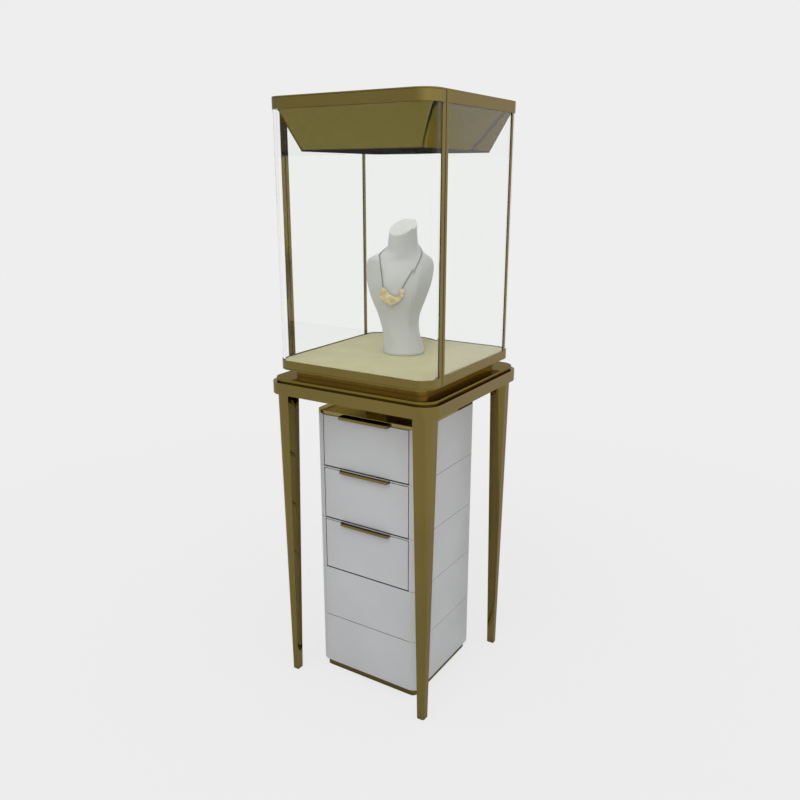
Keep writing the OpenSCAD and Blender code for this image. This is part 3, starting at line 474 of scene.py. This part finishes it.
for i in range(len(loops[-1])):
    form.faces.new((loops[-1][i], loops[-1][(i + 1) % len(even)], middle))
form.faces.new(list(reversed(loops[0])))
bmesh.ops.recalc_face_normals(form, faces=form.faces)
pad = shaped("velvet_pad", form, velvet, smooth=True)
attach(pad, "frame")
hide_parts("deck_pad")

# Boards, spacer and light panel
# The board under the pad is plain and the one in the table faced with laminate. The spacer over the
# cabinet is clad in the gold sheet, and the panel that closes the canopy is painted matt black.
# raw board: matt brown with short fibres
board, tree, shader = new_material("medium_density_board")
place = add(tree, "ShaderNodeTexCoord").outputs["Object"]
fibre = add(tree, "ShaderNodeTexNoise", {"Vector": place, "Scale": 900.0, "Detail": 3.0})
into(tree, shader, Base_Color=ramp(tree, fibre.outputs["Fac"], 0.3, 0.7, "#96764f", "#b39468"),
     Roughness=0.85)
broken_edges("deck_board", board, 0.5 * mm)
# laminate: an even beige with a fine grit
laminate, tree, shader = new_material("gold_beige_laminate")
place = add(tree, "ShaderNodeTexCoord").outputs["Object"]
grit = add(tree, "ShaderNodeTexNoise", {"Vector": place, "Scale": 500.0, "Detail": 2.0})
bump = add(tree, "ShaderNodeBump", {"Height": grit.outputs["Fac"], "Strength": 0.05, "Distance": 0.0002})
into(tree, shader, Base_Color=ramp(tree, grit.outputs["Fac"], 0.3, 0.7, "#dccb9c", "#e4d3a5"),
     Roughness=0.5, Normal=bump.outputs["Normal"])
broken_edges("table_core", laminate, 0.5 * mm)
# paint: deep and dull, so that the lamps stand out
black, tree, shader = new_material("matt_black_paint")
place = add(tree, "ShaderNodeTexCoord").outputs["Object"]
stipple = add(tree, "ShaderNodeTexNoise", {"Vector": place, "Scale": 700.0, "Detail": 2.0})
bump = add(tree, "ShaderNodeBump", {"Height": stipple.outputs["Fac"], "Strength": 0.15, "Distance": 0.0003})
into(tree, shader, Base_Color=ramp(tree, stipple.outputs["Fac"], 0.3, 0.7, "#1d1b18", "#262420"),
     Roughness=0.9, Specular_IOR_Level=0.0, Normal=bump.outputs["Normal"])
broken_edges("cabinet_spacer", bare_lightened_gold, 0.5 * mm)
broken_edges("light_panel", black, 0.3 * mm)
broken_edges("lamp_driver", black, 1.0 * mm)
broken_edges("power_socket", black, 0.2 * mm)
broken_edges("lamps", black, 0.3 * mm)
for part in ("leg_plates", "pivot_pins", "catch_keepers", "door_magnets"):
    broken_edges(part, zinc, 0.2 * mm)

# Lamp lenses
# Four discs of frosted acrylic, pressed into the sunk lamps and lit from behind.
frosted, tree, shader = new_material("lit_frosted_acrylic")
place = add(tree, "ShaderNodeTexCoord").outputs["Object"]
frost = add(tree, "ShaderNodeTexNoise", {"Vector": place, "Scale": 900.0, "Detail": 2.0})
into(tree, shader, Base_Color=ramp(tree, frost.outputs["Fac"], 0.3, 0.7, "#f2efe6", "#fffdf6"),
     Roughness=0.6, Emission_Color=linear("#fff3dd"), Emission_Strength=3.0)
low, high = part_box("lamps")
form = bmesh.new()
for x in (-85 * mm, 85 * mm):
    for y in (-85 * mm, 85 * mm):
        lens = bmesh.ops.create_cone(form, cap_ends=True, segments=40, radius1=10.2 * mm, radius2=10.7 * mm,
                                     depth=0.8 * mm)
        bmesh.ops.translate(form, verts=lens["verts"], vec=(x, y, low.z + 3.0 * mm))
lenses = shaped("lamp_lenses", form, frosted)
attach(lenses, "frame")

# Screws
# Black socket screws: three small ones hold the door's pivot stile, and four in each leg plate
# hold a leg to the table.
blackened, tree, shader = new_material("black_oxide_steel")
place = add(tree, "ShaderNodeTexCoord").outputs["Object"]
worn = add(tree, "ShaderNodeTexNoise", {"Vector": place, "Scale": 900.0, "Detail": 2.0})
into(tree, shader, Metallic=1.0, Roughness=0.5,
     Base_Color=ramp(tree, worn.outputs["Fac"], 0.35, 0.65, "#191816", "#2c2a27"))


def screw_heads(name, spots, out, radius, rise, body):
    """Flat heads with a hexagon socket, standing on the given spots and looking along out."""
    side = out.orthogonal().normalized()
    other = out.cross(side)
    form = bmesh.new()
    for spot in spots:
        loops = []
        for share, up, socket in ((1, 0, False), (1, 0.75, False), (0.85, 1, False), (0.55, 1, True),
                                  (0.55, 0.35, True)):
            loop = []
            for k in range(24):
                a = math.radians(15 * k)
                flat = math.cos(math.radians(30)) / math.cos(math.radians(15 * k % 60 - 30)) if socket else 1
                reach = radius * share * flat
                loop.append(form.verts.new(spot + out * rise * up + side * reach * math.cos(a)
                                           + other * reach * math.sin(a)))
            loops.append(loop)
        for a, b in zip(loops, loops[1:]):
            for k in range(24):
                form.faces.new((a[k], a[(k + 1) % 24], b[(k + 1) % 24], b[k]))
        form.faces.new(loops[-1])
        form.faces.new(list(reversed(loops[0])))
    bmesh.ops.recalc_face_normals(form, faces=form.faces)
    heads = shaped(name, form, blackened)
    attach(heads, body)


low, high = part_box("door_stile_right")
screw_heads("stile_screws",
            [Vector((high.x - 0.3 * mm, low.y + 1.6 * mm, z * mm)) for z in (840, 846.5, 1384.5)],
            Vector((1, 0, 0)), 1.4 * mm, 0.5 * mm, "door")
low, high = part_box("leg_plates")
near, far = 16 * mm, 50 * mm
screw_heads("leg_screws",
            [Vector((x * (high.x - a), y * (high.y - b), low.z + 0.2 * mm))
             for x in (-1, 1) for y in (-1, 1) for a in (near, far) for b in (near, far)],
            Vector((0, 0, -1)), 4 * mm, 2.4 * mm, "frame")

# Bust
# A neck bust cast in white resin, rubbed smooth and finished satin. Its neck is cut at a slant.
# each row: a share of the height; then half width, half depth and shift in x and y, in shares of the
# shoulder; then how steeply the ring rises with y and with x; then where the two flat planes cut it
BUST = [
    (0.000, 0.63, 0.57, 0.02, 0.00, 0.00, 0.00, 1.00), (0.020, 0.635, 0.575, 0.02, 0.00, 0.00, 0.00, 1.00),
    (0.060, 0.60, 0.52, 0.00, 0.00, 0.00, 0.00, 0.98), (0.140, 0.555, 0.45, -0.07, 0.00, 0.00, 0.00, 0.95),
    (0.225, 0.56, 0.42, -0.13, 0.00, 0.00, 0.00, 0.90), (0.310, 0.645, 0.45, -0.15, -0.01, 0.00, 0.00, 0.87),
    (0.430, 0.86, 0.54, -0.13, -0.03, 0.00, 0.00, 0.85), (0.540, 1.02, 0.57, -0.08, -0.02, 0.00, 0.00, 0.84),
    (0.625, 1.08, 0.54, -0.04, 0.02, 0.02, 0.00, 0.86), (0.676, 1.065, 0.47, -0.035, 0.05, 0.05, 0.00, 0.90),
    (0.710, 0.97, 0.42, -0.07, 0.06, 0.10, 0.01, 0.95), (0.742, 0.705, 0.40, -0.085, 0.05, 0.20, 0.03, 1.00),
    (0.785, 0.465, 0.39, -0.045, 0.04, 0.33, 0.08, 1.00), (0.862, 0.403, 0.37, -0.057, 0.02, 0.45, 0.16, 1.00),
    (0.945, 0.375, 0.37, -0.04, 0.00, 0.52, 0.30, 1.00),
]
bust_height, shoulder, turn, ridge = 318 * mm, 79 * mm, math.radians(31), math.radians(31)
bust_foot = Vector((5 * mm, 22 * mm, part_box("bust_form")[0].z))


def bust_size(h, column):
    """The smooth value of one column of BUST at a share h of the height."""
    i = 0
    while i < len(BUST) - 2 and h >= BUST[i + 1][0]:
        i += 1

    def slope(j):
        a, b = max(j - 1, 0), min(j + 1, len(BUST) - 1)
        return (BUST[b][column] - BUST[a][column]) / (BUST[b][0] - BUST[a][0])

    span = BUST[i + 1][0] - BUST[i][0]
    t = (h - BUST[i][0]) / span
    return (BUST[i][column] * (1 + 2 * t) * (1 - t) ** 2 + BUST[i + 1][column] * t * t * (3 - 2 * t)
            + span * (slope(i) * t * (1 - t) ** 2 - slope(i + 1) * t * t * (1 - t)))


def on_bust(h, a, inward=0.0):
    """A point of the bust in its own frame, at a share of the height and an angle."""
    lean = abs(math.cos(a)) * math.cos(ridge) - math.sin(a) * math.sin(ridge)
    reach = min(1, bust_size(h, 7) / max(0.1, lean))
    x = shoulder * (bust_size(h, 3) + bust_size(h, 1) * reach * math.cos(a)) - inward * math.cos(a)
    y = shoulder * (bust_size(h, 4) + bust_size(h, 2) * reach * math.sin(a)) - inward * math.sin(a)
    return Vector((x, y, h * bust_height + bust_size(h, 5) * y + bust_size(h, 6) * x))


def placed(p):
    """A point of the bust's own frame, turned and set on the pad."""
    return bust_foot + Vector((p.x * math.cos(turn) - p.y * math.sin(turn),
                               p.x * math.sin(turn) + p.y * math.cos(turn), p.z))


resin, tree, shader = new_material("white_cast_resin")
place = add(tree, "ShaderNodeTexCoord").outputs["Object"]
# rubbed down with fine paper: faint marks of about 3 mm
rubbed = add(tree, "ShaderNodeTexNoise", {"Vector": place, "Scale": 320.0, "Detail": 3.0})
haze = add(tree, "ShaderNodeTexNoise", {"Vector": place, "Scale": 12.0, "Detail": 2.0})
bump = add(tree, "ShaderNodeBump", {"Height": rubbed.outputs["Fac"], "Strength": 0.05, "Distance": 0.0004})
into(tree, shader, Base_Color=ramp(tree, haze.outputs["Fac"], 0.3, 0.7, "#bebfbc", "#c4c5c2"),
     Roughness=0.42, Subsurface_Weight=0.08, Subsurface_Scale=0.004, Normal=bump.outputs["Normal"])
around, tall, top = 96, 110, BUST[-1][0]
form = bmesh.new()
stack = [(0.0, 1.2 * mm), (0.0015, 0.35 * mm), (0.004, 0.0)]
stack += [(0.004 + (top - 0.008) * k / tall, 0.0) for k in range(1, tall + 1)]
stack += [(top - 0.001, 0.5 * mm), (top, 1.6 * mm)]
loops = [[form.verts.new(placed(on_bust(h, 2 * math.pi * i / around, inward))) for i in range(around)]
         for h, inward in stack]
for a, b in zip(loops, loops[1:]):
    for i in range(around):
        form.faces.new((a[i], a[(i + 1) % around], b[(i + 1) % around], b[i]))
for loop, turned in ((loops[0], True), (loops[-1], False)):
    form.faces.new(list(reversed(loop)) if turned else loop)
bmesh.ops.recalc_face_normals(form, faces=form.faces)
bust = shaped("resin_bust", form, resin, smooth=True)
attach(bust, "bust")
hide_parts("bust_form")

# Necklace
# A fine cable chain of blackened silver, and a crescent of eight overlapping brass discs with
# a hammered face. The chain lies on the chest and round the nape, and takes the end discs.
# tarnish makes the chain a dark thin line
silver, tree, shader = new_material("blackened_silver")
place = add(tree, "ShaderNodeTexCoord").outputs["Object"]
tarnish = add(tree, "ShaderNodeTexNoise", {"Vector": place, "Scale": 700.0, "Detail": 2.0})
into(tree, shader, Metallic=1.0, Roughness=0.35,
     Base_Color=ramp(tree, tarnish.outputs["Fac"], 0.35, 0.65, "#3a3a3b", "#6a6a6a"))
brass, tree, shader = new_material("hammered_light_brass")
place = add(tree, "ShaderNodeTexCoord").outputs["Object"]
# hammer marks of about 1.5 mm
blows = add(tree, "ShaderNodeTexVoronoi", {"Vector": place, "Scale": 650.0}, feature="SMOOTH_F1")
tone = add(tree, "ShaderNodeTexNoise", {"Vector": place, "Scale": 70.0, "Detail": 2.0})
bump = add(tree, "ShaderNodeBump", {"Height": blows.outputs["Distance"], "Strength": 0.35,
                                    "Distance": 0.0004})
into(tree, shader, Metallic=1.0, Roughness=0.28, Normal=bump.outputs["Normal"],
     Base_Color=ramp(tree, tone.outputs["Fac"], 0.3, 0.7, "#beab77", "#dfd1ad"))
coin, growth, peak, bow, coins = 12 * mm, 13 * mm, math.radians(35), 22 * mm, 8
coin_turn = 0.82 * coin / bow
top_turn = (coins - 1) / 2 * coin_turn
bow_x, bow_z = -0.31 * shoulder, 0.49 * bust_height


def front_angle(x, z):
    """The angle at which the bust's surface passes x and z, seen from the front."""
    h = z / bust_height
    u = max(-1, min(1, (x / shoulder - bust_size(h, 3)) / bust_size(h, 1)))
    on_plane = (bust_size(h, 7) - abs(u) * math.cos(ridge)) / math.sin(ridge)
    return -math.atan2(min(math.sqrt(1 - u * u), on_plane), u)


def off_bust(z, a, out):
    """A point that lies this far out of the bust's surface."""
    h = z / bust_height
    across = on_bust(h, a + 0.017) - on_bust(h, a - 0.017)
    up = on_bust(h + 0.002, a) - on_bust(h - 0.002, a)
    return placed(on_bust(h, a) + out * across.cross(up).normalized())


def disc_size(a):
    """The diameter of the disc that hangs at an angle from the lowest point of the bow."""
    return coin + growth * max(0, math.cos(a + peak)) ** 2


def links_tree():
    """Stands copies of a link along a path: evenly spaced, each turned and stepped on from the last,
    with its face kept to one side and as wide as the path's own size says."""
    tree = bpy.data.node_groups.new("links_on_path", "GeometryNodeTree")
    for name, kind in (("Path", "Geometry"), ("Link", "Object"), ("Count", "Int"), ("Turn", "Float"),
                       ("Step", "Vector"), ("Facing", "Vector"), ("Material", "Material")):
        tree.interface.new_socket(name, in_out="INPUT", socket_type="NodeSocket" + kind)
    tree.interface.new_socket("Links", in_out="OUTPUT", socket_type="NodeSocketGeometry")
    given = tree.nodes.new("NodeGroupInput").outputs
    curve = add(tree, "GeometryNodeMeshToCurve", {"Mesh": given["Path"]})
    even = add(tree, "GeometryNodeResampleCurve", {"Curve": curve.outputs["Curve"], "Count": given["Count"]})
    number = tree.nodes.new("GeometryNodeInputIndex").outputs["Index"]
    step = add(tree, "ShaderNodeVectorMath", {0: given["Step"], "Scale": number}, operation="SCALE")
    stepped = add(tree, "GeometryNodeSetPosition", {"Geometry": even.outputs["Curve"],
                                                    "Offset": step.outputs["Vector"]})
    tangent = tree.nodes.new("GeometryNodeInputTangent").outputs["Tangent"]
    along = add(tree, "FunctionNodeAlignRotationToVector", {"Vector": tangent}, axis="Z")
    aim = add(tree, "FunctionNodeAlignRotationToVector",
              {"Rotation": along.outputs["Rotation"], "Vector": given["Facing"]}, axis="Y", pivot_axis="Z")
    angle = add(tree, "ShaderNodeMath", {0: number, 1: given["Turn"]}, operation="MULTIPLY")
    roll = add(tree, "FunctionNodeAxisAngleToRotation", {"Axis": (0, 0, 1), "Angle": angle.outputs["Value"]})
    turned = add(tree, "FunctionNodeRotateRotation", {"Rotation": aim.outputs["Rotation"],
                                                      "Rotate By": roll.outputs["Rotation"]},
                 rotation_space="LOCAL")
    link = add(tree, "GeometryNodeObjectInfo", {"Object": given["Link"]})
    size = add(tree, "GeometryNodeInputNamedAttribute", {"Name": "size"}, data_type="FLOAT")
    wide = add(tree, "ShaderNodeCombineXYZ", {"X": size.outputs["Attribute"], "Y": 1.0,
                                              "Z": size.outputs["Attribute"]})
    copies = add(tree, "GeometryNodeInstanceOnPoints", {"Points": stepped.outputs["Geometry"],
                                                        "Instance": link.outputs["Geometry"],
                                                        "Scale": wide.outputs["Vector"],
                                                        "Rotation": turned.outputs["Rotation"]})
    real = add(tree, "GeometryNodeRealizeInstances", {"Geometry": copies.outputs["Instances"]})
    painted = add(tree, "GeometryNodeSetMaterial", {"Geometry": real.outputs["Geometry"],
                                                    "Material": given["Material"]})
    add(tree, "NodeGroupOutput", {"Links": painted.outputs["Geometry"]})
    return tree


links = links_tree()


def strung(name, path, sizes, link, values, node):
    """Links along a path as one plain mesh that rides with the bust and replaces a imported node."""
    mesh = bpy.data.meshes.new(name + "_path")
    mesh.from_pydata([tuple(p) for p in path], [(i, i + 1) for i in range(len(path) - 1)], [])
    mesh.attributes.new("size", "FLOAT", "POINT").data.foreach_set("value", sizes)
    string = bpy.data.objects.new(name + "_path", mesh)
    unit = bpy.data.objects.new(name + "_link", link)
    bpy.context.scene.collection.objects.link(string)
    bpy.context.scene.collection.objects.link(unit)
    modifier = string.modifiers.new("links", "NODES")
    modifier.node_group = links
    for item in links.interface.items_tree:
        if item.in_out == "INPUT" and item.name != "Path":
            modifier[item.identifier] = unit if item.name == "Link" else values[item.name]
    seen = string.evaluated_get(bpy.context.evaluated_depsgraph_get())
    result = bpy.data.meshes.new_from_object(seen)
    string.modifiers.remove(modifier)
    bpy.data.objects.remove(string)
    bpy.data.objects.remove(unit)
    for polygon in result.polygons:
        polygon.use_smooth = True
    piece = bpy.data.objects.new(name, result)
    bpy.context.scene.collection.objects.link(piece)
    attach(piece, "bust")
    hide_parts(node)


# one link: a stadium of 0.5 mm wire, 3.4 mm long and 2.2 mm wide
form = bmesh.new()
wire, half_width, straight, sides, bends = 0.28 * mm, 0.8 * mm, 0.65 * mm, 6, 6
spine = []
for side in (1, -1):
    for k in range(bends + 1):
        a = math.pi * k / bends - math.pi / 2
        out = Vector((-side * math.sin(a), 0, side * math.cos(a)))
        spine.append((out * half_width + Vector((0, 0, side * straight)), out))
loops = [[form.verts.new(p + wire * (out * math.cos(t) + Vector((0, 1, 0)) * math.sin(t)))
          for t in (2 * math.pi * k / sides for k in range(sides))] for p, out in spine]
for i, a in enumerate(loops):
    b = loops[(i + 1) % len(loops)]
    for k in range(sides):
        form.faces.new((a[k], a[(k + 1) % sides], b[(k + 1) % sides], b[k]))
bmesh.ops.recalc_face_normals(form, faces=form.faces)
link = bpy.data.meshes.new("chain_link")
form.to_mesh(link)
form.free()
out, strands, ends = 1.5 * mm, [], []
for side, high_x, high_z in ((1, 0.557 * shoulder, 0.764 * bust_height),
                             (-1, -0.70 * shoulder, 0.735 * bust_height)):
    x0 = bow_x + side * bow * math.sin(top_turn)
    z0 = bow_z - bow * math.cos(top_turn) + disc_size(side * top_turn) / 2 + 0.8 * mm
    ends.append((front_angle(high_x, high_z), high_z))
    strand = []
    for k in range(41):
        x, z = x0 + k / 40 * (high_x - x0), z0 + k / 40 * (high_z - z0)
        strand.append(off_bust(z, front_angle(x, z), out))
    strands.append(strand)
(a0, z0), (a1, z1) = ends
nape = [off_bust(z0 + k / 36 * (z1 - z0) + 0.045 * bust_height * math.sin(math.pi * k / 36),
                 a0 + k / 36 * (a1 + 2 * math.pi - a0), out) for k in range(1, 36)]
path = strands[0] + nape + strands[1][::-1]
length = sum((b - a).length for a, b in zip(path, path[1:]))
facing = Vector((math.sin(turn), -math.cos(turn), 0))
strung("silver_chain", path, [1.0] * len(path), link,
       {"Count": round(length / (2.25 * mm)), "Turn": math.pi / 2, "Step": (0, 0, 0), "Facing": tuple(facing),
        "Material": silver}, "necklace_chain")

# one disc: 1 mm thick, a little dished, with a rolled edge; it looks along Y
form = bmesh.new()
profile = [(0.0, 0.10), (0.45, 0.14), (0.8, 0.30), (0.93, 0.5), (1.0, 0.35), (1.0, -0.35), (0.93, -0.5),
           (0.0, -0.5)]
loops = [[form.verts.new((math.cos(t) * r * coin / 2, rise * mm, math.sin(t) * r * coin / 2))
          for t in (2 * math.pi * k / 40 for k in range(40))] for r, rise in profile]
for a, b in zip(loops, loops[1:]):
    for k in range(40):
        form.faces.new((a[k], a[(k + 1) % 40], b[(k + 1) % 40], b[k]))
bmesh.ops.remove_doubles(form, verts=form.verts, dist=0.001 * mm)
bmesh.ops.recalc_face_normals(form, faces=form.faces)
disc = bpy.data.meshes.new("brass_disc")
form.to_mesh(disc)
form.free()
rest = on_bust(bow_z / bust_height, front_angle(bow_x, bow_z)).y
turns = [top_turn * (k / 40 - 1) for k in range(81)]
path = [placed(Vector((bow_x + bow * math.sin(a), rest - 2.3 * mm, bow_z - bow * math.cos(a)))) for a in turns]
strung("brass_pendant", path, [disc_size(a) / coin for a in turns], disc,
       {"Count": coins, "Turn": 0.0, "Step": tuple(facing * 0.3 * mm), "Facing": tuple(facing),
        "Material": brass},
       "necklace_pendant")
